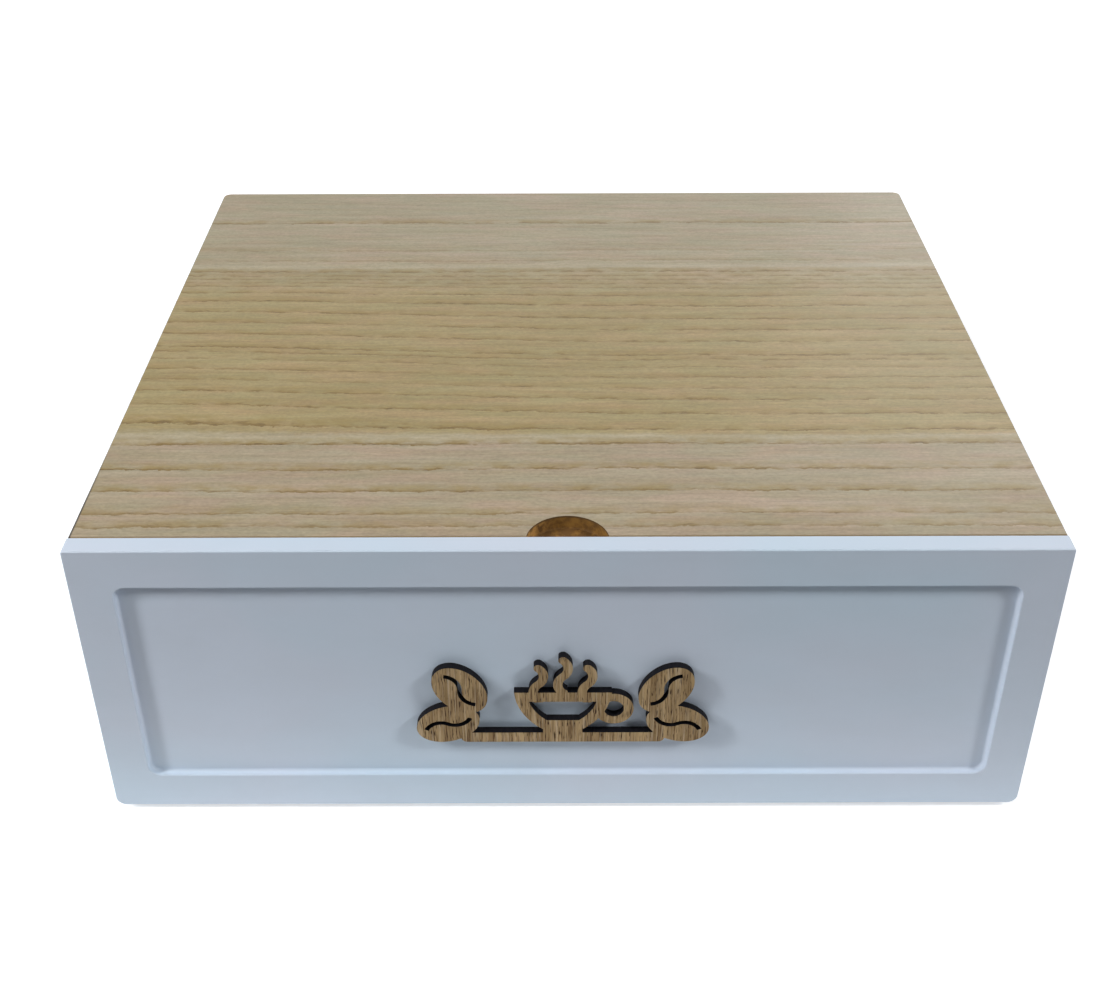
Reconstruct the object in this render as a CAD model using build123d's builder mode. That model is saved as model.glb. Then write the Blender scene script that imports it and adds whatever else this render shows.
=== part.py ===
from build123d import *
from math import cos, hypot, radians, sin
import os

# A drawer for coffee capsules: a veneered case that a coffee machine stands on, and a box with a
# cross-lapped grid of cells behind a white front. Millimetres, +X to the right, +Y to the back,
# +Z up, with the origin on the ground under the middle of the whole object.

# Front board, with a sunk field that carries the ornament
front_width = 330.0
front_height = 115.0
front_thickness = 8.0
front_top_radius = 1.0
front_bottom_radius = 3.5
front_edge_chamfer = 0.35
field_border = 15.0
field_side_border = 14.2
field_depth = 2.5
field_corner_radius = 4.5
field_cove_radius = 1.2
field_rim_chamfer = 0.3

# Case
case_depth = 288.0
case_board = 8.0
back_board = 5.0
base_board = 5.0
rebate_depth = 4.0
case_corner_radius = 3.5
case_edge_rounding = 0.5
front_overhang = 0.6
front_gap = 0.4

# Half-round finger pocket in the front edge of the top
pocket_radius = 13.8
pocket_depth = 5.0
pocket_floor_rounding = 0.6
pocket_centre_ahead = 2.4

# Stick-on rubber feet
foot_radius = 6.0
foot_height = 2.5
foot_taper = 12.0
foot_inset = 22.0

# Drawer box, with finger joints at its corners and a tabbed bottom
wall_board = 5.0
side_clearance = 1.0
top_clearance = 4.0
finger_count = 7
bottom_board = 3.0
bottom_lift = 4.0
tab_width = 24.0
tabs_per_side = 3
joint_gap = 0.1

# Divider grid
divider_board = 3.0
divider_height = 62.0
divider_end_gap = 0.2
cell_columns = 6
cell_rows = 5

# Countersunk screws from inside the box into the front
screw_radius = 1.5
screw_head_radius = 2.9
screw_head_height = 1.4
screw_bite = 4.0
screw_tip = 1.2
screw_gap = 0.05
screw_drive_width = 0.7
screw_drive_length = 3.2
screw_drive_depth = 0.9
screw_spread = 220.0
screw_rise = 52.0

# Ornament on the front: a steaming cup on a saucer between coffee beans
ornament_thickness = 3.0
ornament_width = 103.0
ornament_height = 39.0
ornament_centre_x = -1.5
ornament_centre_up = 51.0
saucer_length = 72.0
saucer_thickness = 4.4
cup_low = 6.0
cup_rim = 23.0
cup_rim_half = 17.0
cup_belly_half = 14.6
cup_foot_half = 7.0
cup_foot_lap = 1.0
cup_stroke = 4.2
handle_across = 17.8
handle_up = 15.5
handle_radius = 6.9
handle_hole_radius = 3.5
steam_width = 3.2
steam_bow = 1.8
steam_root = 1.0
steam_spacing = 8.5
side_steam_drop = 3.5
bean_length = 23.0
bean_width = 16.0
bean_slit = 1.6
bean_slit_bow = 1.7
bean_end = 3.2
low_bean_tilt = 20.0
high_bean_tilt = -50.0
high_bean_inward = 4.5
high_bean_up = 15.5

# Levels and depths that follow from the sizes above
ornament_stand = max(ornament_thickness - field_depth, 0.0)
overall_depth = ornament_stand + front_thickness + front_gap + case_depth
front_face_y = ornament_stand - overall_depth / 2
field_y = front_face_y + field_depth
front_back_y = front_face_y + front_thickness
case_front_y = front_back_y + front_gap
case_back_y = case_front_y + case_depth
case_mid_y = (case_front_y + case_back_y) / 2
case_width = front_width - 2 * front_overhang
case_low_z = foot_height
case_top_z = case_low_z + front_height
front_mid_z = case_low_z + front_height / 2
bay_width = case_width - 2 * case_board
bay_back_y = case_back_y - back_board
bay_floor_z = case_low_z + base_board
bay_roof_z = case_top_z - case_board
infill_width = bay_width + 2 * (rebate_depth - joint_gap)

box_width = bay_width - 2 * side_clearance
box_length = bay_back_y - front_back_y
box_mid_y = (bay_back_y + front_back_y) / 2
box_inner_front_y = front_back_y + wall_board
wall_height = bay_roof_z - bay_floor_z - top_clearance
wall_mid_z = bay_floor_z + wall_height / 2
finger_height = wall_height / finger_count
notch_depth = wall_board + joint_gap
notch_height = finger_height + joint_gap
inner_width = box_width - 2 * wall_board
inner_length = box_length - 2 * wall_board
bottom_low_z = bay_floor_z + bottom_lift
bottom_mid_z = bottom_low_z + bottom_board / 2
divider_low_z = bottom_low_z + bottom_board
divider_top_z = divider_low_z + divider_height
divider_mid_z = divider_low_z + divider_height / 2
lap_width = divider_board + joint_gap
lap_height = (divider_height + joint_gap) / 2
cell_width = (inner_width - (cell_columns - 1) * divider_board) / cell_columns
cell_length = (inner_length - (cell_rows - 1) * divider_board) / cell_rows

# Places of what repeats, from the left, from the front and from below
finger_zs = [bay_floor_z + (step + 0.5) * finger_height for step in range(finger_count)]
tab_shares = [(step + 0.5) / tabs_per_side - 0.5 for step in range(tabs_per_side)]
tab_xs = [inner_width * share for share in tab_shares]
tab_ys = [box_mid_y + inner_length * share for share in tab_shares]
long_divider_xs = [
    -inner_width / 2 + step * (cell_width + divider_board) - divider_board / 2
    for step in range(1, cell_columns)
]
cross_divider_ys = [
    box_inner_front_y + step * (cell_length + divider_board) - divider_board / 2
    for step in range(1, cell_rows)
]
screw_places = [
    (x, box_inner_front_y, z)
    for x in (-screw_spread / 2, screw_spread / 2)
    for z in (wall_mid_z - screw_rise / 2, wall_mid_z + screw_rise / 2)
]

os.makedirs("parts", exist_ok=True)

# Top board, which lies on the sides and the back
with BuildPart() as top_panel:
    with BuildSketch(Plane.XY.offset(bay_roof_z)) as top_plan:
        with Locations((0, case_mid_y)):
            Rectangle(case_width, case_depth)
        fillet(top_plan.vertices().group_by(Axis.Y)[-1], case_corner_radius)
    extrude(amount=case_board)
    top_edges = top_panel.faces().sort_by(Axis.Z)[-1].edges()
    fillet(top_edges - top_edges.sort_by(Axis.Y)[:1], case_edge_rounding)
    with BuildSketch(Plane.XY.offset(case_top_z)):
        with Locations((0, case_front_y - pocket_centre_ahead)):
            Circle(pocket_radius)
    extrude(amount=-pocket_depth, mode=Mode.SUBTRACT)
    pocket_floor = top_panel.faces().filter_by(Axis.Z).group_by(Axis.Z)[1]
    fillet(pocket_floor.edges().filter_by(GeomType.CIRCLE), pocket_floor_rounding)
top_panel.part.label = "top_panel"
export_step(top_panel.part, "parts/top_panel.step")

# Sides, rebated for the back and the base, with the rear corners rounded in line with the top
with BuildPart() as left_side:
    with BuildSketch(Plane.XY.offset(case_low_z)) as side_plan:
        with Locations((-(bay_width + case_board) / 2, case_mid_y)):
            Rectangle(case_board, case_depth)
        fillet(side_plan.vertices().group_by(Axis.Y)[-1].sort_by(Axis.X)[0], case_corner_radius)
        with Locations((-(bay_width + rebate_depth) / 2, case_back_y - back_board / 2)):
            Rectangle(rebate_depth, back_board, mode=Mode.SUBTRACT)
    extrude(amount=bay_roof_z - case_low_z)
    with BuildSketch(Plane.XZ.offset(-case_back_y)):
        with Locations((-(bay_width + rebate_depth) / 2, case_low_z + base_board / 2)):
            Rectangle(rebate_depth, base_board)
    extrude(amount=case_depth, mode=Mode.SUBTRACT)
    fillet(left_side.edges().group_by(Axis.Z)[0].sort_by(Axis.X)[0], case_edge_rounding)
left_side.part.label = "left_side"
export_step(left_side.part, "parts/left_side.step")

with BuildPart() as right_side:
    mirror(left_side.part, about=Plane.YZ)
right_side.part.label = "right_side"
export_step(right_side.part, "parts/right_side.step")

# Back and base, glued into the rebates of the sides
with BuildPart() as back_panel:
    with BuildSketch(Plane.XZ.offset(-case_back_y)):
        with Locations((0, (case_low_z + bay_roof_z) / 2)):
            Rectangle(infill_width, bay_roof_z - case_low_z)
    extrude(amount=back_board)
back_panel.part.label = "back_panel"
export_step(back_panel.part, "parts/back_panel.step")

with BuildPart() as base_panel:
    with BuildSketch(Plane.XY.offset(case_low_z)):
        with Locations((0, (case_front_y + bay_back_y) / 2)):
            Rectangle(infill_width, bay_back_y - case_front_y)
    extrude(amount=base_board)
base_panel.part.label = "base_panel"
export_step(base_panel.part, "parts/base_panel.step")

# Feet under the corners of the base
foot_x = case_width / 2 - foot_inset
foot_places = {
    "foot_front_left": (-foot_x, case_front_y + foot_inset),
    "foot_front_right": (foot_x, case_front_y + foot_inset),
    "foot_back_left": (-foot_x, case_back_y - foot_inset),
    "foot_back_right": (foot_x, case_back_y - foot_inset),
}
for foot_name, foot_place in foot_places.items():
    with BuildPart() as foot:
        with BuildSketch(Plane.XY):
            with Locations(foot_place):
                Circle(foot_radius)
        extrude(amount=foot_height, taper=-foot_taper)
    foot.part.label = foot_name
    export_step(foot.part, f"parts/{foot_name}.step")


# The screws, or the holes that they need, which are larger by a gap all round
def turned_screws(gap):
    with BuildPart() as screws:
        for place in screw_places:
            with BuildSketch(Plane(origin=place, x_dir=(1, 0, 0), z_dir=(0, 0, 1))):
                with BuildLine():
                    Polyline(
                        (0, 0),
                        (screw_head_radius + gap, 0),
                        (screw_radius + gap, -screw_head_height - gap),
                        (screw_radius + gap, screw_tip - wall_board - screw_bite - gap),
                        (0, -wall_board - screw_bite - gap),
                        close=True,
                    )
                make_face()
            revolve(axis=Axis(place, (0, 1, 0)))
    return screws.part


screw_holes = turned_screws(screw_gap)

# Screws with a cross-shaped drive in the head
with BuildPart() as front_screws:
    add(turned_screws(0))
    for screw_place in screw_places:
        with BuildSketch(Plane(origin=screw_place, x_dir=(1, 0, 0), z_dir=(0, 1, 0))):
            Rectangle(screw_drive_length, screw_drive_width)
            Rectangle(screw_drive_width, screw_drive_length)
        extrude(amount=-screw_drive_depth, mode=Mode.SUBTRACT)
front_screws.part.label = "front_screws"
export_step(front_screws.part, "parts/front_screws.step")

# Front board, with its sunk field and the screws' pilot holes
with BuildPart() as drawer_front:
    with BuildSketch(Plane.XZ.offset(-front_back_y)) as front_plan:
        with Locations((0, front_mid_z)):
            Rectangle(front_width, front_height)
        fillet(front_plan.vertices().group_by(Axis.Y)[-1], front_top_radius)
        fillet(front_plan.vertices().group_by(Axis.Y)[0], front_bottom_radius)
    extrude(amount=front_thickness)
    chamfer(drawer_front.faces().filter_by(Axis.Y).edges(), front_edge_chamfer)
    with BuildSketch(Plane.XZ.offset(-front_face_y)):
        with Locations((0, front_mid_z)):
            RectangleRounded(
                front_width - 2 * field_side_border, front_height - 2 * field_border, field_corner_radius
            )
    extrude(amount=-field_depth, mode=Mode.SUBTRACT)
    field_floor = drawer_front.faces().filter_by(Axis.Y).sort_by(Axis.Y)[1]
    fillet(field_floor.edges(), field_cove_radius)
    field_rim = drawer_front.faces().sort_by(Axis.Y)[0].inner_wires()[0]
    chamfer(field_rim.edges(), field_rim_chamfer)
    add(screw_holes, mode=Mode.SUBTRACT)
drawer_front.part.label = "drawer_front"
export_step(drawer_front.part, "parts/drawer_front.step")


# Outline of the box's two end walls: fingers at the first, third and further steps, and tab slots
def end_wall_outline(plane):
    with BuildSketch(plane) as outline:
        with Locations((0, wall_mid_z)):
            Rectangle(box_width, wall_height)
        notch_x = (box_width - notch_depth) / 2
        for finger_z in finger_zs[1::2]:
            with Locations((-notch_x, finger_z), (notch_x, finger_z)):
                Rectangle(notch_depth, notch_height, mode=Mode.SUBTRACT)
        with Locations(*[(tab_x, bottom_mid_z) for tab_x in tab_xs]):
            Rectangle(tab_width + joint_gap, bottom_board + joint_gap, mode=Mode.SUBTRACT)
    return outline.sketch


# Inner front of the box, which the front board is screwed to
with BuildPart() as inner_front:
    extrude(end_wall_outline(Plane.XZ.offset(-box_inner_front_y)), amount=wall_board)
    add(screw_holes, mode=Mode.SUBTRACT)
inner_front.part.label = "inner_front"
export_step(inner_front.part, "parts/inner_front.step")

with BuildPart() as drawer_back:
    extrude(end_wall_outline(Plane.XZ.offset(-bay_back_y)), amount=wall_board)
drawer_back.part.label = "drawer_back"
export_step(drawer_back.part, "parts/drawer_back.step")

# Side walls of the box, with fingers at the steps that the end walls leave free
with BuildPart() as drawer_left_wall:
    with BuildSketch(Plane.YZ.offset(-box_width / 2)):
        with Locations((box_mid_y, wall_mid_z)):
            Rectangle(box_length, wall_height)
        for finger_z in finger_zs[0::2]:
            with Locations(
                (front_back_y + notch_depth / 2, finger_z), (bay_back_y - notch_depth / 2, finger_z)
            ):
                Rectangle(notch_depth, notch_height, mode=Mode.SUBTRACT)
        with Locations(*[(tab_y, bottom_mid_z) for tab_y in tab_ys]):
            Rectangle(tab_width + joint_gap, bottom_board + joint_gap, mode=Mode.SUBTRACT)
    extrude(amount=wall_board)
drawer_left_wall.part.label = "drawer_left_wall"
export_step(drawer_left_wall.part, "parts/drawer_left_wall.step")

with BuildPart() as drawer_right_wall:
    mirror(drawer_left_wall.part, about=Plane.YZ)
drawer_right_wall.part.label = "drawer_right_wall"
export_step(drawer_right_wall.part, "parts/drawer_right_wall.step")

# Bottom of the box, with tabs that pass through the slots of all four walls
with BuildPart() as drawer_bottom:
    with BuildSketch(Plane.XY.offset(bottom_low_z)):
        with Locations((0, box_mid_y)):
            Rectangle(inner_width - joint_gap, inner_length - joint_gap)
        with Locations(*[(0, tab_y) for tab_y in tab_ys]):
            Rectangle(box_width, tab_width)
        with Locations(*[(tab_x, box_mid_y) for tab_x in tab_xs]):
            Rectangle(tab_width, box_length)
    extrude(amount=bottom_board)
drawer_bottom.part.label = "drawer_bottom"
export_step(drawer_bottom.part, "parts/drawer_bottom.step")

# Long dividers run from front to back, and their laps are open at the top
for index, divider_x in enumerate(long_divider_xs, start=1):
    with BuildPart() as long_divider:
        with BuildSketch(Plane.YZ.offset(divider_x - divider_board / 2)):
            with Locations((box_mid_y, divider_mid_z)):
                Rectangle(inner_length - 2 * divider_end_gap, divider_height)
            with Locations(*[(lap_y, divider_top_z - lap_height / 2) for lap_y in cross_divider_ys]):
                Rectangle(lap_width, lap_height, mode=Mode.SUBTRACT)
        extrude(amount=divider_board)
    long_divider.part.label = f"long_divider_{index}"
    export_step(long_divider.part, f"parts/long_divider_{index}.step")

# Cross dividers run from side to side, and their laps are open at the bottom
for index, divider_y in enumerate(cross_divider_ys, start=1):
    with BuildPart() as cross_divider:
        with BuildSketch(Plane.XZ.offset(-divider_y - divider_board / 2)):
            with Locations((0, divider_mid_z)):
                Rectangle(inner_width - 2 * divider_end_gap, divider_height)
            with Locations(*[(lap_x, divider_low_z + lap_height / 2) for lap_x in long_divider_xs]):
                Rectangle(lap_width, lap_height, mode=Mode.SUBTRACT)
        extrude(amount=divider_board)
    cross_divider.part.label = f"cross_divider_{index}"
    export_step(cross_divider.part, f"parts/cross_divider_{index}.step")

# One coffee bean lying along X, with a wavy slit that stops short of its ends
slit_half = bean_length / 2 - bean_end
with BuildSketch() as bean:
    Ellipse(bean_length / 2, bean_width / 2)
    with BuildLine():
        ThreePointArc((-slit_half, 0), (-slit_half / 2, bean_slit_bow), (0, 0))
        ThreePointArc((0, 0), (slit_half / 2, -bean_slit_bow), (slit_half, 0))
    trace(line_width=bean_slit, mode=Mode.SUBTRACT)

# Two beans that lean on each other, the lower one touching the ornament's left and lower limits
low_lean = radians(low_bean_tilt)
low_bean_x = hypot(bean_length * cos(low_lean), bean_width * sin(low_lean)) / 2 - ornament_width / 2
low_bean_y = hypot(bean_length * sin(low_lean), bean_width * cos(low_lean)) / 2
with BuildSketch() as left_beans:
    with Locations(
        Location((low_bean_x, low_bean_y, 0), (0, 0, low_bean_tilt)),
        Location((low_bean_x + high_bean_inward, low_bean_y + high_bean_up, 0), (0, 0, high_bean_tilt)),
    ):
        add(bean.sketch)

# Open outline of the cup's bowl
with BuildSketch() as bowl:
    with BuildLine():
        Line((-cup_rim_half, cup_rim), (cup_rim_half, cup_rim))
        ThreePointArc(
            (cup_rim_half, cup_rim), (cup_belly_half, (cup_low + cup_rim) / 2), (cup_foot_half, cup_low)
        )
        Line((cup_foot_half, cup_low), (-cup_foot_half, cup_low))
        ThreePointArc(
            (-cup_foot_half, cup_low), (-cup_belly_half, (cup_low + cup_rim) / 2), (-cup_rim_half, cup_rim)
        )
    make_face()
    offset(amount=-cup_stroke, mode=Mode.SUBTRACT)

# One plume of steam that starts inside the rim and ends round
plume_height = ornament_height - cup_rim - steam_width / 2
with BuildSketch() as plume:
    with BuildLine():
        Line((0, -steam_root), (0, 0))
        ThreePointArc((0, 0), (-steam_bow, plume_height / 4), (0, plume_height / 2))
        ThreePointArc((0, plume_height / 2), (steam_bow, plume_height * 3 / 4), (0, plume_height))
    trace(line_width=steam_width)
    with Locations((0, plume_height)):
        Circle(steam_width / 2)

# The ornament, all in one piece, on the floor of the front's field
ornament_foot = (ornament_centre_x, field_y, case_low_z + ornament_centre_up - ornament_height / 2)
side_steam_low = cup_rim - side_steam_drop
with BuildPart() as front_ornament:
    with BuildSketch(Plane(origin=ornament_foot, x_dir=(1, 0, 0), z_dir=(0, -1, 0))):
        with Locations((handle_across, handle_up)):
            Circle(handle_radius)
            Circle(handle_hole_radius, mode=Mode.SUBTRACT)
        add(bowl.sketch)
        with Locations((0, saucer_thickness / 2)):
            SlotOverall(saucer_length, saucer_thickness)
        with Locations((0, (saucer_thickness + cup_low) / 2)):
            Rectangle(2 * cup_foot_half, cup_low - saucer_thickness + 2 * cup_foot_lap)
        with Locations((-steam_spacing, side_steam_low), (0, cup_rim), (steam_spacing, side_steam_low)):
            add(plume.sketch)
        add(left_beans.sketch)
        mirror(left_beans.sketch, about=Plane.YZ)
    extrude(amount=ornament_thickness)
front_ornament.part.label = "front_ornament"
export_step(front_ornament.part, "parts/front_ornament.step")
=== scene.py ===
import math
import bpy
from mathutils import Matrix, Vector


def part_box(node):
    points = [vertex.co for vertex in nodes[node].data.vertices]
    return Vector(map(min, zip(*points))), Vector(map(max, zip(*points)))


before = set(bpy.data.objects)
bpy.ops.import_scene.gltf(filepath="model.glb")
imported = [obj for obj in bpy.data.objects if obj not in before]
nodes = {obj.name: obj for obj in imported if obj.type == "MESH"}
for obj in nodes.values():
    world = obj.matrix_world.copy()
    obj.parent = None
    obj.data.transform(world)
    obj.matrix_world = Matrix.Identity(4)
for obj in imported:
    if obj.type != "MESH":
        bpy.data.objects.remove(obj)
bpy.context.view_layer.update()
scene = bpy.context.scene
scene.view_settings.view_transform = "Standard"
mm = 0.001
print("Frame loaded with", len(nodes), "nodes")

# Places that the materials need, all read from the frame, in millimetres
topLow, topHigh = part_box("top_panel")
frontLow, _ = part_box("drawer_front")
topFace = topHigh.z / mm
topUnder = topLow.z / mm
topFront = topLow.y / mm
topLeft = topLow.x / mm


# Camera: where the photo was taken from, seen from the bottom middle of the front face
cameraLook = {
    "place": (-5.06, -391.8, 400.4),  # millimetres from that point
    "pitchDown": 34.13,
    "yaw": -0.10,
    "roll": -0.21,
    "focalPixels": 1494.8,
    "photoWidth": 1100,
    "sensor": 36.0,
    "clip": (0.01, 50.0),
}


def makeCamera(look):
    pitch, yaw, roll = (math.radians(look[name]) for name in ("pitchDown", "yaw", "roll"))
    level = math.cos(pitch)
    forward = Vector((math.sin(yaw) * level, math.cos(yaw) * level, -math.sin(pitch)))
    side = Vector((math.cos(yaw), -math.sin(yaw), 0.0))
    up = side.cross(forward)
    right = side * math.cos(roll) + up * math.sin(roll)
    above = up * math.cos(roll) - side * math.sin(roll)
    data = bpy.data.cameras.new("photoCamera")
    data.sensor_width = look["sensor"]
    data.lens = look["focalPixels"] / look["photoWidth"] * look["sensor"]
    data.clip_start, data.clip_end = look["clip"]
    camera = bpy.data.objects.new("photoCamera", data)
    scene.collection.objects.link(camera)
    frontFoot = Vector((0.0, frontLow.y, frontLow.z))
    turn = Matrix((right, above, -forward)).transposed().to_4x4()
    camera.matrix_world = Matrix.Translation(frontFoot + Vector(look["place"]) * mm) @ turn
    scene.camera = camera


makeCamera(cameraLook)
print("Camera placed")


# Small helpers for node trees; lengths inside the trees are in millimetres
def newMaterial(name, roughness, specular=0.5):
    material = bpy.data.materials.new(name)
    material.use_nodes = True
    tree = material.node_tree
    shader = tree.nodes["Principled BSDF"]
    shader.inputs["Roughness"].default_value = roughness
    shader.inputs["Specular IOR Level"].default_value = specular
    return material, tree, shader


def put(tree, kind, inputs, **settings):
    node = tree.nodes.new(kind)
    for name, value in settings.items():
        setattr(node, name, value)
    for name, value in inputs.items():
        if isinstance(value, bpy.types.NodeSocket):
            tree.links.new(value, node.inputs[name])
        else:
            node.inputs[name].default_value = value
    return node


def calc(tree, operation, *values, clamp=False):
    inputs = dict(enumerate(values))
    return put(tree, "ShaderNodeMath", inputs, operation=operation, use_clamp=clamp).outputs[0]


def calcVector(tree, operation, *values):
    inputs = dict(enumerate(values))
    return put(tree, "ShaderNodeVectorMath", inputs, operation=operation).outputs["Vector"]


def lengthOf(tree, vector):
    return put(tree, "ShaderNodeVectorMath", {0: vector}, operation="LENGTH").outputs["Value"]


def placeOf(tree):
    texture = tree.nodes.new("ShaderNodeTexCoord").outputs
    place = calcVector(tree, "MULTIPLY", texture["Object"], (1 / mm,) * 3)
    parts = put(tree, "ShaderNodeSeparateXYZ", {0: place})
    turn = put(tree, "ShaderNodeSeparateXYZ", {0: texture["Normal"]})
    return place, parts.outputs, turn.outputs


def stretched(tree, place, lengths):
    return calcVector(tree, "MULTIPLY", place, tuple(1 / length for length in lengths))


def noise(tree, place, lengths, detail=2.0, roughness=0.5, distortion=0.0):
    inputs = {
        "Vector": stretched(tree, place, lengths),
        "Scale": 1.0,
        "Detail": detail,
        "Roughness": roughness,
        "Distortion": distortion,
    }
    return put(tree, "ShaderNodeTexNoise", inputs).outputs[0]


def swing(tree, value, amount):
    return calc(tree, "MULTIPLY", calc(tree, "SUBTRACT", value, 0.5), amount)


def remap(tree, value, low, high, toLow=0.0, toHigh=1.0, smooth=False):
    inputs = {0: value, 1: low, 2: high, 3: toLow, 4: toHigh}
    kind = "SMOOTHSTEP" if smooth else "LINEAR"
    return put(tree, "ShaderNodeMapRange", inputs, interpolation_type=kind).outputs[0]


def ramp(tree, value, stops):
    node = put(tree, "ShaderNodeValToRGB", {0: value})
    points = node.color_ramp.elements
    while len(points) < len(stops):
        points.new(0.5)
    for point, (position, colour) in zip(points, stops):
        point.position = position
        point.color = (*colour, 1.0) if isinstance(colour, tuple) else (colour, colour, colour, 1.0)
    return node.outputs[0]


def mix(tree, share, first, second, kind="MIX"):
    node = tree.nodes.new("ShaderNodeMix")
    node.data_type = "RGBA"
    node.blend_type = kind
    sockets = (node.inputs[0], node.inputs[6], node.inputs[7])  # the share and the two colours
    for socket, value in zip(sockets, (share, first, second)):
        if isinstance(value, bpy.types.NodeSocket):
            tree.links.new(value, socket)
        elif isinstance(value, tuple):
            socket.default_value = (*value, 1.0)
        else:
            socket.default_value = value
    return node.outputs[2]


def layered(tree, *layers):
    height = calc(tree, "MULTIPLY", *layers[0])
    for layer in layers[1:]:
        height = calc(tree, "ADD", height, calc(tree, "MULTIPLY", *layer))
    return height


def bump(tree, shader, height, depth=1.0):
    inputs = {"Height": height, "Distance": depth * mm, "Strength": 1.0}
    node = put(tree, "ShaderNodeBump", inputs)
    tree.links.new(node.outputs[0], shader.inputs["Normal"])


def dress(material, names):
    for name in names:
        piece = nodes[name]
        piece.data.materials.clear()
        piece.data.materials.append(material)


# In every look below, a noise is its grain size, detail and roughness, and a range is where
# it starts and ends, and then what it gives there if that isn't 0 and 1.

# White paint on board, for the front, the sides, the back and the top's edges
paintLook = {
    "colour": (0.634, 0.734, 0.862),
    "warm": (0.672, 0.724, 0.836),
    "cool": (0.590, 0.734, 0.850),
    "cloudNoise": ((95.0, 95.0, 60.0), 2.0),
    "cloudRange": (0.36, 0.64),
    "cloudShare": 0.5,
    "haze": (0.45, 0.49, 0.52),
    "hazeNoise": ((34.0, 34.0, 15.0), 4.0, 0.6),
    "hazeRange": (0.3, 0.7, 0.0, 0.08),
    "stippleNoise": ((0.55,) * 3, 2.0, 0.6),
    "stippleDepth": 0.012,
    "waveNoise": ((14.0,) * 3, 1.0),
    "waveDepth": 0.05,
    "nibSpacing": 21.0,
    "nibRadius": 0.45,
    "nibDepth": 0.10,
    "roughness": 0.42,
}


def paintSockets(tree, place, look):
    cloud = noise(tree, place, *look["cloudNoise"])
    tint = mix(tree, remap(tree, cloud, *look["cloudRange"]), look["cool"], look["warm"])
    colour = mix(tree, look["cloudShare"], look["colour"], tint)
    haze = noise(tree, place, *look["hazeNoise"])
    colour = mix(tree, remap(tree, haze, *look["hazeRange"]), colour, look["haze"])
    stipple = noise(tree, place, *look["stippleNoise"])
    wave = noise(tree, place, *look["waveNoise"])
    spacing = look["nibSpacing"]
    inputs = {"Vector": stretched(tree, place, (spacing,) * 3), "Scale": 1.0}
    fromNib = put(tree, "ShaderNodeTexVoronoi", inputs).outputs["Distance"]
    nib = remap(tree, fromNib, 0.0, look["nibRadius"] / spacing, 1.0, 0.0, True)
    height = layered(
        tree,
        (stipple, look["stippleDepth"]),
        (wave, look["waveDepth"]),
        (nib, look["nibDepth"]),
    )
    return colour, height


def makePaint(look):
    material, tree, shader = newMaterial("whitePaint", look["roughness"])
    place, _, _ = placeOf(tree)
    colour, height = paintSockets(tree, place, look)
    tree.links.new(colour, shader.inputs["Base Color"])
    bump(tree, shader, height)
    return material


# Bare fibreboard: brown, with specks and short fibres, darker where it was cut
boardLook = {
    "pale": (0.365, 0.222, 0.112),
    "deep": (0.215, 0.112, 0.046),
    "cut": (0.030, 0.014, 0.007),
    "cutSoft": (0.095, 0.048, 0.022),
    "cloudNoise": ((26.0,) * 3, 3.0),
    "cloudSwing": 0.9,
    "fibreNoise": ((1.1,) * 3, 5.0, 0.65, 0.6),  # the last number twists the fibres
    "fibreSwing": 1.5,
    "fibreDepth": 0.05,
    "speckNoise": ((0.35,) * 3, 2.0, 0.7),
    "speckRange": (0.62, 0.75, 0.0, 0.5),
    "scorchNoise": ((2.2,) * 3, 3.0, 0.6),
    "scorchRange": (0.35, 0.7),
    "roughness": 0.78,
    "specular": 0.3,
}
cutTurn = (0.6, 0.4)  # below this share of a board's facing, its surface is a cut edge


def isCut(tree, turn):
    return remap(tree, calc(tree, "ABSOLUTE", turn), *cutTurn)


def boardSockets(tree, place, look):
    cloud = noise(tree, place, *look["cloudNoise"])
    fibre = noise(tree, place, *look["fibreNoise"])
    speck = noise(tree, place, *look["speckNoise"])
    clouds = swing(tree, cloud, look["cloudSwing"])
    fibres = swing(tree, fibre, look["fibreSwing"])
    share = calc(tree, "ADD", calc(tree, "ADD", clouds, fibres), 0.5, clamp=True)
    colour = mix(tree, share, look["pale"], look["deep"])
    colour = mix(tree, remap(tree, speck, *look["speckRange"]), colour, look["deep"])
    return colour, fibre


def makeBoard(name, look, faceAxis):
    material, tree, shader = newMaterial(name, look["roughness"], look["specular"])
    place, _, turn = placeOf(tree)
    colour, fibre = boardSockets(tree, place, look)
    scorch = noise(tree, place, *look["scorchNoise"])
    burnt = mix(tree, remap(tree, scorch, *look["scorchRange"]), look["cut"], look["cutSoft"])
    colour = mix(tree, isCut(tree, turn[faceAxis]), colour, burnt)
    tree.links.new(colour, shader.inputs["Base Color"])
    bump(tree, shader, fibre, look["fibreDepth"])
    return material


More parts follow.
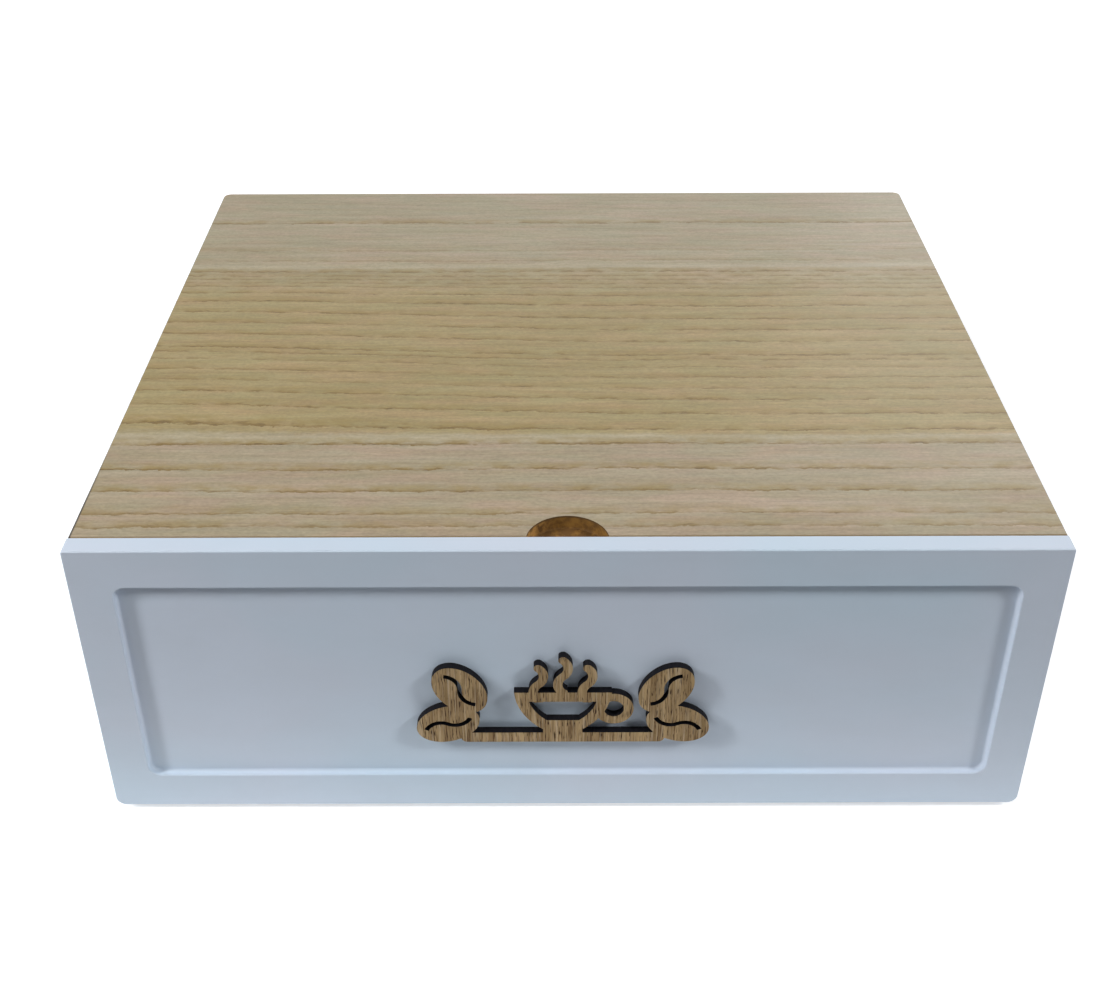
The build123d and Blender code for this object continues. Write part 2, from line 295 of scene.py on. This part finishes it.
# Oak-like veneer under satin lacquer, with its grain along X
veneerLook = {
    "growthLines": (  # where each line crosses the middle of the top, and how dark it is
        (-134.5, 0.65), (-127.0, 0.70), (-113.3, 0.90), (-99.5, 0.95), (-83.0, 1.00),
        (-73.5, 1.00), (-62.0, 0.80), (-51.5, 0.80), (-43.0, 0.55), (-34.5, 0.60),
        (-26.5, 0.50), (-20.5, 0.65), (-16.5, 0.85), (-5.0, 0.75), (5.0, 0.85),
        (14.7, 0.95), (26.3, 0.95), (35.5, 0.80), (43.0, 0.55), (47.0, 0.60),
        (51.0, 0.55), (55.0, 0.60), (59.7, 0.85), (71.0, 0.35), (82.0, 0.30), (112.0, 0.85),
    ),
    "firstGap": 15.0,  # clear wood ahead of the first line
    "fanRise": 8.0,  # the lines of the middle zone climb this much towards the left
    "fanAlong": (-165.0, 40.0),
    "fanAhead": (-79.0, -62.0),
    "fanBehind": (20.0, 62.0, 1.0, 0.0),
    "swayNoise": ((150.0, 90.0, 50.0), 1.0),
    "sway": 3.0,
    "wobbleNoise": ((22.0, 26.0, 50.0), 2.0),
    "wobble": 2.6,
    "jagNoise": ((3.4, 2.6, 50.0), 3.0, 0.65),
    "jag": 3.0,
    "brokenNoise": ((8.0, 4.0, 50.0), 4.0),
    "brokenRange": (0.38, 0.60, 0.18, 1.0),
    "line": (0.200, 0.125, 0.032),
    "lineRange": (0.45, 1.55, 0.84, 0.0),
    "late": (0.318, 0.222, 0.066),  # the late wood that fades out behind each line
    "lateRange": (0.5, 6.0, 0.94, 0.0),
    "front": (0.401, 0.326, 0.217),
    "middle": (0.386, 0.298, 0.140),
    "back": (0.406, 0.340, 0.224),
    "zones": (
        (0.0, "front"), (0.20, "front"), (0.225, "middle"),
        (0.60, "middle"), (0.74, "back"), (1.0, "back"),
    ),
    "zonesRange": (-139.5, 148.5),
    "band": (0.460, 0.400, 0.275),
    "bandPlaces": (-79.0, 66.0),
    "bandRange": (4.0, 0.6, 0.0, 0.8),
    "mottle": {
        "noise": ((95.0, 13.0, 50.0), 2.0),
        "stops": ((0.3, (0.93, 0.93, 0.90)), (0.7, (1.06, 1.06, 1.09))),
    },
    "blush": {
        "noise": ((26.0, 6.0, 50.0), 2.0),
        "stops": ((0.34, (0.965, 1.01, 1.0)), (0.5, (1.0, 1.0, 1.0)), (0.66, (1.05, 0.985, 1.02))),
    },
    "streak": {
        "noise": ((46.0, 3.2, 50.0), 3.0),
        "stops": ((0.28, (0.93, 0.915, 0.86)), (0.5, (1.0, 1.0, 1.0)), (0.72, (1.05, 1.065, 1.11))),
    },
    "fine": {
        "noise": ((30.0, 1.3, 50.0), 4.0, 0.6),
        "stops": ((0.25, 0.88), (0.5, 1.0), (0.75, 1.12)),
    },
    "fibre": {
        "noise": ((5.0, 0.55, 50.0), 3.0, 0.65),
        "stops": ((0.25, 0.87), (0.5, 1.0), (0.75, 1.12)),
    },
    "fleck": {
        "noise": ((1.3, 0.9, 50.0), 3.0),
        "stops": ((0.3, 0.905), (0.7, 1.095)),
    },
    "pore": (0.130, 0.080, 0.028),
    "poreNoise": ((3.4, 0.46, 50.0), 2.0),
    "poreRange": (0.55, 0.63),
    "poreHome": (2.6, 0.2),  # most pores lie close behind a line
    "poreElsewhere": 0.10,
    "poreShare": 0.85,
}


def growthLines(tree, across, look):
    lines = look["growthLines"]
    lastPlace, lastDark = lines[0][0] - look["firstGap"], 0.0
    reached, dark = lastPlace, lastDark
    for place, strength in lines:
        isPast = calc(tree, "GREATER_THAN", across, place)
        reached = calc(tree, "MULTIPLY_ADD", isPast, place - lastPlace, reached)
        dark = calc(tree, "MULTIPLY_ADD", isPast, strength - lastDark, dark)
        lastPlace, lastDark = place, strength
    return calc(tree, "SUBTRACT", across, reached), dark


def acrossGrain(tree, place, parts, look):
    fan = remap(tree, parts[0], *look["fanAlong"], look["fanRise"], 0.0, True)
    fan = calc(tree, "MULTIPLY", fan, remap(tree, parts[1], *look["fanAhead"]))
    fan = calc(tree, "MULTIPLY", fan, remap(tree, parts[1], *look["fanBehind"]))
    sway = swing(tree, noise(tree, place, *look["swayNoise"]), look["sway"])
    wobble = swing(tree, noise(tree, place, *look["wobbleNoise"]), look["wobble"])
    jag = swing(tree, noise(tree, place, *look["jagNoise"]), look["jag"])
    across = calc(tree, "SUBTRACT", calc(tree, "ADD", parts[1], sway), fan)
    return calc(tree, "ADD", across, calc(tree, "ADD", wobble, jag))


def tinted(tree, place, colour, tint):
    grain = noise(tree, place, *tint["noise"])
    return mix(tree, 1.0, colour, ramp(tree, grain, tint["stops"]), "MULTIPLY"), grain


def veneerSockets(tree, place, parts, look):
    across = acrossGrain(tree, place, parts, look)
    behind, dark = growthLines(tree, across, look)
    broken = remap(tree, noise(tree, place, *look["brokenNoise"]), *look["brokenRange"])
    dark = calc(tree, "MULTIPLY", dark, broken)
    line = calc(tree, "MULTIPLY", remap(tree, behind, *look["lineRange"], True), dark)
    late = calc(tree, "MULTIPLY", remap(tree, behind, *look["lateRange"]), dark)
    spread = remap(tree, across, *look["zonesRange"])
    colour = ramp(tree, spread, [(share, look[zone]) for share, zone in look["zones"]])
    colour, _ = tinted(tree, place, colour, look["mottle"])
    colour, _ = tinted(tree, place, colour, look["blush"])
    for middle in look["bandPlaces"]:
        gap = calc(tree, "ABSOLUTE", calc(tree, "SUBTRACT", across, middle))
        colour = mix(tree, remap(tree, gap, *look["bandRange"], True), colour, look["band"])
    colour, _ = tinted(tree, place, colour, look["streak"])
    colour, fine = tinted(tree, place, colour, look["fine"])
    colour, _ = tinted(tree, place, colour, look["fibre"])
    colour, _ = tinted(tree, place, colour, look["fleck"])
    colour = mix(tree, late, colour, look["late"])
    colour = mix(tree, line, colour, look["line"])
    pores = remap(tree, noise(tree, place, *look["poreNoise"]), *look["poreRange"])
    poreHome = calc(tree, "MULTIPLY", remap(tree, behind, *look["poreHome"]), dark)
    pores = calc(tree, "MULTIPLY", pores, calc(tree, "ADD", poreHome, look["poreElsewhere"]))
    colour = mix(tree, calc(tree, "MULTIPLY", pores, look["poreShare"]), colour, look["pore"])
    return colour, pores, fine


# The finger pocket: a round hollow with a bare wall and floor, open to the front, with painted
# light and painted shade on them
pocketLook = {
    "ahead": 2.4,  # its middle lies this far in front of the top
    "reach": 14.1,
    "wall": (0.292, 0.146, 0.024),
    # painted light: left is a paler, more orange wall colour painted on the wall's left end, where
    # light falls on it
    "left": (0.600, 0.315, 0.085),
    "litLeftEndRange": (-13.0, -4.5),
    # painted light: floor is the colour of the lit floor, used only in the pale pool
    "floor": (0.225, 0.150, 0.036),
    "floorDepth": (4.2, 4.9),
    "dark": (0.130, 0.058, 0.008),
    "mottleNoise": ((2.6,) * 3, 4.0, 0.6),
    "wallMottle": (0.38, 0.66),
    # painted shade: the floor outside the pool takes more of the dark mottle than the wall does
    "shadedFloorMottle": (0.28, 0.52),
    "lightPoolPlace": (1.2, 1.0),  # painted light: the floor is painted paler here as a pool of light, measured from the middle of the top's front edge
    "lightPoolShape": (1.0, 1.5, 0.0),
    "lightPoolRagged": 5.0,
    "lightPoolRange": (4.4, 7.2),
    "rim": (0.110, 0.058, 0.018),
    "rimDepth": (0.48, 0.90, 0.85, 0.0),  # the veneer's dark edge around the hollow
}


def isPocket(tree, place, look):
    fromMiddle = calcVector(tree, "SUBTRACT", place, (0.0, topFront - look["ahead"], topFace))
    flat = calcVector(tree, "MULTIPLY", fromMiddle, (1.0, 1.0, 0.0))
    return calc(tree, "LESS_THAN", lengthOf(tree, flat), look["reach"])


def pocketColour(tree, place, parts, depth, look):
    mottle = noise(tree, place, *look["mottleNoise"])
    # painted light: the left end of the wall is painted as if lit
    wall = mix(tree, remap(tree, parts[0], *look["litLeftEndRange"]), look["left"], look["wall"])
    wall = mix(tree, remap(tree, mottle, *look["wallMottle"]), wall, look["dark"])
    # painted light: a pale pool on the floor, with painted shade around it
    poolRight, poolBehind = look["lightPoolPlace"]
    poolMiddle = (poolRight, topFront + poolBehind, topFace)
    fromPool = calcVector(tree, "SUBTRACT", place, poolMiddle)
    away = lengthOf(tree, calcVector(tree, "MULTIPLY", fromPool, look["lightPoolShape"]))
    away = calc(tree, "ADD", away, swing(tree, mottle, look["lightPoolRagged"]))
    ground = mix(tree, remap(tree, mottle, *look["shadedFloorMottle"]), look["wall"], look["dark"])
    ground = mix(tree, remap(tree, away, *look["lightPoolRange"]), look["floor"], ground)
    colour = mix(tree, remap(tree, depth, *look["floorDepth"]), wall, ground)
    return mix(tree, remap(tree, depth, *look["rimDepth"]), colour, look["rim"])


# The whole top: veneer above, paint on its edges, bare board in the pocket, in front and below
topLook = {
    "faceTurn": (0.80, 0.97),
    "faceDepth": 0.3,
    "slack": 0.1,  # how near to a side a point counts as on it
    "veneerEdge": (0.50, 0.36, 0.20),
    "veneerDepth": (0.60, 0.42),  # its edge shows down to here on the front
    "cornerDark": (0.045, 0.036, 0.030),  # a dark line on the left edge beside the front
    "cornerWidth": (1.0, 0.6),
    "cornerLength": (60.0, 14.0, 0.0, 0.92),
    "cornerDepth": 0.7,
    "lacquerRoughness": 0.30,
    "bareRoughness": 0.80,
    "poreDepth": -0.02,
    "fineDepth": 0.012,
    "fibreDepth": 0.08,
}


def cornerShadow(tree, parts, depth, look):
    outer, inner = look["cornerWidth"]
    edge = remap(tree, parts[0], topLeft + outer, topLeft + inner)
    far, near, none, full = look["cornerLength"]
    nearFront = remap(tree, parts[1], topFront + far, topFront + near, none, full, True)
    edge = calc(tree, "MULTIPLY", edge, nearFront)
    return calc(tree, "MULTIPLY", edge, calc(tree, "LESS_THAN", depth, look["cornerDepth"]))


def makeTop(look):
    material, tree, shader = newMaterial("lacqueredTop", look["lacquerRoughness"])
    place, parts, turn = placeOf(tree)
    wood, pores, fine = veneerSockets(tree, place, parts, veneerLook)
    paint, _ = paintSockets(tree, place, paintLook)
    bare, fibre = boardSockets(tree, place, boardLook)
    depth = calc(tree, "SUBTRACT", topFace, parts[2])
    onTop = remap(tree, turn[2], *look["faceTurn"])
    isHigh = calc(tree, "GREATER_THAN", parts[2], topFace - look["faceDepth"])
    isFace = calc(tree, "MULTIPLY", onTop, isHigh)
    notFace = calc(tree, "SUBTRACT", 1.0, isFace)
    inPocket = calc(tree, "MULTIPLY", isPocket(tree, place, pocketLook), notFace)
    isFront = calc(tree, "LESS_THAN", parts[1], topFront + look["slack"])
    isUnder = calc(tree, "LESS_THAN", parts[2], topUnder + look["slack"])
    isBare = calc(tree, "MAXIMUM", isUnder, calc(tree, "MAXIMUM", isFront, inPocket))
    colour = mix(tree, inPocket, bare, pocketColour(tree, place, parts, depth, pocketLook))
    veneerSide = remap(tree, depth, *look["veneerDepth"])
    colour = mix(tree, calc(tree, "MULTIPLY", veneerSide, isFront), colour, look["veneerEdge"])
    colour = mix(tree, isBare, paint, colour)
    colour = mix(tree, isFace, colour, wood)
    colour = mix(tree, cornerShadow(tree, parts, depth, look), colour, look["cornerDark"])
    tree.links.new(colour, shader.inputs["Base Color"])
    edgeRough, faceRough = (paintLook["roughness"],) * 3, (look["lacquerRoughness"],) * 3
    rough = mix(tree, isBare, mix(tree, isFace, edgeRough, faceRough), (look["bareRoughness"],) * 3)
    tree.links.new(rough, shader.inputs["Roughness"])
    height = layered(
        tree,
        (pores, look["poreDepth"]),
        (fine, look["fineDepth"]),
        (calc(tree, "MULTIPLY", fibre, isBare), look["fibreDepth"]),
    )
    bump(tree, shader, height)
    return material


# The ornament: oak-faced thin board with its grain upright and near-black laser-cut edges
ornamentLook = {
    "leanNoise": ((9.0, 50.0, 30.0), 1.0),
    "lean": 1.6,
    "pale": (0.560, 0.395, 0.205),
    "tan": (0.310, 0.205, 0.098),
    "tanNoise": ((3.6, 50.0, 60.0), 2.0),
    "tanRange": (0.35, 0.65),
    "streak": (0.120, 0.060, 0.028),
    "streakNoise": ((0.60, 50.0, 15.0), 3.0, 0.6),
    "streakRange": (0.50, 0.66, 0.0, 0.85),
    "streakDepth": -0.06,
    "dash": (0.034, 0.014, 0.009),
    "dashNoise": ((0.44, 50.0, 5.0), 2.0),
    "dashRange": (0.57, 0.64),
    "dashShare": 0.92,
    "dashDepth": -0.08,
    "light": (0.660, 0.520, 0.340),
    "lightNoise": ((0.7, 50.0, 26.0), 2.0),
    "lightRange": (0.53, 0.68, 0.0, 0.7),
    "edge": (0.004, 0.004, 0.006),
    "edgeSoft": (0.010, 0.009, 0.011),
    "sootNoise": ((1.2, 3.0, 1.2), 3.0),
    "sootRange": (0.35, 0.7),
    "roughness": 0.66,
    "specular": 0.12,
}


def makeOrnament(look):
    material, tree, shader = newMaterial("ornamentOak", look["roughness"], look["specular"])
    place, parts, turn = placeOf(tree)
    lean = swing(tree, noise(tree, place, *look["leanNoise"]), look["lean"])
    leaning = {0: calc(tree, "ADD", parts[0], lean), 1: 0.0, 2: parts[2]}
    moved = put(tree, "ShaderNodeCombineXYZ", leaning).outputs[0]
    tan = noise(tree, moved, *look["tanNoise"])
    streak = noise(tree, moved, *look["streakNoise"])
    colour = mix(tree, remap(tree, tan, *look["tanRange"]), look["pale"], look["tan"])
    colour = mix(tree, remap(tree, streak, *look["streakRange"]), colour, look["streak"])
    dashes = remap(tree, noise(tree, moved, *look["dashNoise"]), *look["dashRange"])
    colour = mix(tree, calc(tree, "MULTIPLY", dashes, look["dashShare"]), colour, look["dash"])
    light = remap(tree, noise(tree, moved, *look["lightNoise"]), *look["lightRange"])
    colour = mix(tree, light, colour, look["light"])
    soot = noise(tree, place, *look["sootNoise"])
    burnt = mix(tree, remap(tree, soot, *look["sootRange"]), look["edge"], look["edgeSoft"])
    colour = mix(tree, isCut(tree, turn[1]), colour, burnt)
    tree.links.new(colour, shader.inputs["Base Color"])
    height = layered(tree, (streak, look["streakDepth"]), (dashes, look["dashDepth"]))
    bump(tree, shader, height)
    return material


# Feet of dusty matt rubber
rubberLook = {
    "colour": (0.026, 0.026, 0.028),
    "dust": (0.060, 0.058, 0.055),
    "dustNoise": ((3.0,) * 3, 3.0),
    "dustRange": (0.4, 0.7),
    "grainNoise": ((0.4,) * 3, 2.0),
    "grainDepth": 0.03,
    "roughness": 0.75,
    "specular": 0.4,
}


def makeRubber(look):
    material, tree, shader = newMaterial("footRubber", look["roughness"], look["specular"])
    place, _, _ = placeOf(tree)
    grain = noise(tree, place, *look["grainNoise"])
    dust = noise(tree, place, *look["dustNoise"])
    colour = mix(tree, remap(tree, dust, *look["dustRange"]), look["colour"], look["dust"])
    tree.links.new(colour, shader.inputs["Base Color"])
    bump(tree, shader, grain, look["grainDepth"])
    return material


# Zinc plated screws that hold the front
screwLook = {
    "colour": (0.560, 0.550, 0.520),
    "dull": (0.400, 0.380, 0.330),
    "dullNoise": ((1.4,) * 3, 3.0),
    "dullRange": (0.35, 0.65),
    "grainNoise": ((0.2,) * 3, 2.0),
    "grainDepth": 0.01,
    "roughness": 0.32,
    "metallic": 1.0,
}


def makeScrewMetal(look):
    material, tree, shader = newMaterial("zincScrews", look["roughness"])
    shader.inputs["Metallic"].default_value = look["metallic"]
    place, _, _ = placeOf(tree)
    dull = noise(tree, place, *look["dullNoise"])
    colour = mix(tree, remap(tree, dull, *look["dullRange"]), look["colour"], look["dull"])
    tree.links.new(colour, shader.inputs["Base Color"])
    bump(tree, shader, noise(tree, place, *look["grainNoise"]), look["grainDepth"])
    return material


# Which piece wears what; a board's number is the axis that its face looks along
dress(makeTop(topLook), ["top_panel"])
painted = ["drawer_front", "left_side", "right_side", "back_panel"]
dress(makePaint(paintLook), painted)
dress(makeOrnament(ornamentLook), ["front_ornament"])
facingX = ["drawer_left_wall", "drawer_right_wall"]
dress(makeBoard("bareBoardX", boardLook, 0), facingX)
dress(makeBoard("bareBoardY", boardLook, 1), ["inner_front", "drawer_back"])
dress(makeBoard("bareBoardZ", boardLook, 2), ["drawer_bottom", "base_panel"])
longDividers = [name for name in nodes if name.startswith("long_divider")]
dress(makeBoard("dividerBoardX", boardLook, 0), longDividers)
crossDividers = [name for name in nodes if name.startswith("cross_divider")]
dress(makeBoard("dividerBoardY", boardLook, 1), crossDividers)
feet = [name for name in nodes if name.startswith("foot_")]
dress(makeRubber(rubberLook), feet)
dress(makeScrewMetal(screwLook), ["front_screws"])
print("Materials assigned")


# Studio: a pale floor, soft lamps at both sides ahead of the front, and weak ones above and
# behind; backRight lifts the right half of the top
lampLook = {
    "leftHigh": {"place": (-1.00, -0.44, 0.88), "size": (0.14, 0.22), "power": 5.1},
    "leftLow": {"place": (-1.05, -0.47, 0.66), "size": (0.14, 0.14), "power": 4.5},
    "rightHigh": {"place": (1.05, -0.55, 0.95), "size": (0.20, 0.20), "power": 8.8},
    "leftFront": {"place": (-0.85, -0.70, 1.00), "size": (0.12, 0.12), "power": 1.6},
    "over": {"place": (0.0, 0.30, 1.50), "size": (1.2, 0.6), "power": 4.2},
    "behind": {"place": (0.0, 1.50, 0.30), "size": (0.8, 0.3), "power": 4.3, "mirrored": False},
    "backRight": {"place": (0.78, 1.30, 0.82), "size": (0.9, 1.0), "power": 1.9},
}
stageLook = {
    "lampsAim": (0.0, 0.0, 0.08),
    "white": (1.0, 1.0, 1.0, 1.0),
    "skyLight": 0.06,
    "mirrorLight": (0.60, 1.0),  # the room as the lacquer mirrors it, on the left and the right
    "mirrorTurn": (-0.25, 0.25),
    "floorSize": 6.0,
    "floorSeen": 0.78,
    "floorGlow": 0.56,  # near the object, where its shadow falls
    "farGlow": 1.0,
    "farFrom": (330.0, 900.0),
    "floorRoughness": 0.9,
    "floorSpecular": 0.1,
    "tableFront": 60.0,  # light bounces up only from this far in front of the drawer
    "tableFade": 15.0,
    "tableBounce": 0.96,
    "roomBounce": 0.12,
}


def seenDirectly(tree):
    path = tree.nodes.new("ShaderNodeLightPath").outputs
    seen = calc(tree, "MAXIMUM", path["Is Camera Ray"], path["Is Glossy Ray"])
    return calc(tree, "MAXIMUM", seen, path["Is Transmission Ray"])


def worldStrength(tree, look):
    path = tree.nodes.new("ShaderNodeLightPath").outputs
    seen = calc(tree, "MAXIMUM", path["Is Camera Ray"], path["Is Transmission Ray"])
    direction = tree.nodes.new("ShaderNodeTexCoord").outputs["Generated"]
    towards = put(tree, "ShaderNodeSeparateXYZ", {0: direction}).outputs
    room = remap(tree, towards[0], *look["mirrorTurn"], *look["mirrorLight"])
    extra = calc(tree, "SUBTRACT", room, look["skyLight"])
    mirrored = calc(tree, "MULTIPLY", path["Is Glossy Ray"], extra)
    return calc(tree, "MAXIMUM", seen, calc(tree, "ADD", mirrored, look["skyLight"]))


def makeLamps(look, target):
    for name, lamp in look.items():
        data = bpy.data.lights.new(name + "Lamp", "AREA")
        data.shape = "RECTANGLE"
        data.size, data.size_y = lamp["size"]
        data.energy = lamp["power"]
        lampObject = bpy.data.objects.new(name + "Lamp", data)
        scene.collection.objects.link(lampObject)
        lampObject.visible_glossy = lamp.get("mirrored", True)
        lampObject.location = lamp["place"]
        aim = Vector(target) - Vector(lamp["place"])
        lampObject.rotation_euler = aim.to_track_quat("-Z", "Y").to_euler()


def makeWorld(look):
    world = bpy.data.worlds.new("studioWorld")
    scene.world = world
    world.use_nodes = True
    tree = world.node_tree
    background = tree.nodes["Background"]
    background.inputs["Color"].default_value = look["white"]
    tree.links.new(worldStrength(tree, look), background.inputs["Strength"])


def makeFloor(look):
    half = look["floorSize"] / 2
    mesh = bpy.data.meshes.new("studioFloor")
    corners = [(-half, -half, 0.0), (half, -half, 0.0), (half, half, 0.0), (-half, half, 0.0)]
    mesh.from_pydata(corners, [], [(0, 1, 2, 3)])
    floor = bpy.data.objects.new("studioFloor", mesh)
    scene.collection.objects.link(floor)
    roughness, specular = look["floorRoughness"], look["floorSpecular"]
    material, tree, shader = newMaterial("floorPaint", roughness, specular)
    place, parts, _ = placeOf(tree)
    seen = seenDirectly(tree)
    edge, fade = frontLow.y / mm - look["tableFront"], look["tableFade"]
    light = (look["roomBounce"], look["tableBounce"])
    bounce = remap(tree, parts[1], edge - fade, edge + fade, *light)
    colour = mix(tree, seen, bounce, (look["floorSeen"],) * 3)
    tree.links.new(colour, shader.inputs["Base Color"])
    shader.inputs["Emission Color"].default_value = look["white"]
    reach = lengthOf(tree, place)
    glow = remap(tree, reach, *look["farFrom"], look["floorGlow"], look["farGlow"], True)
    tree.links.new(calc(tree, "MULTIPLY", seen, glow), shader.inputs["Emission Strength"])
    mesh.materials.append(material)


makeLamps(lampLook, stageLook["lampsAim"])
makeWorld(stageLook)
makeFloor(stageLook)
print("Stage and lamps made")
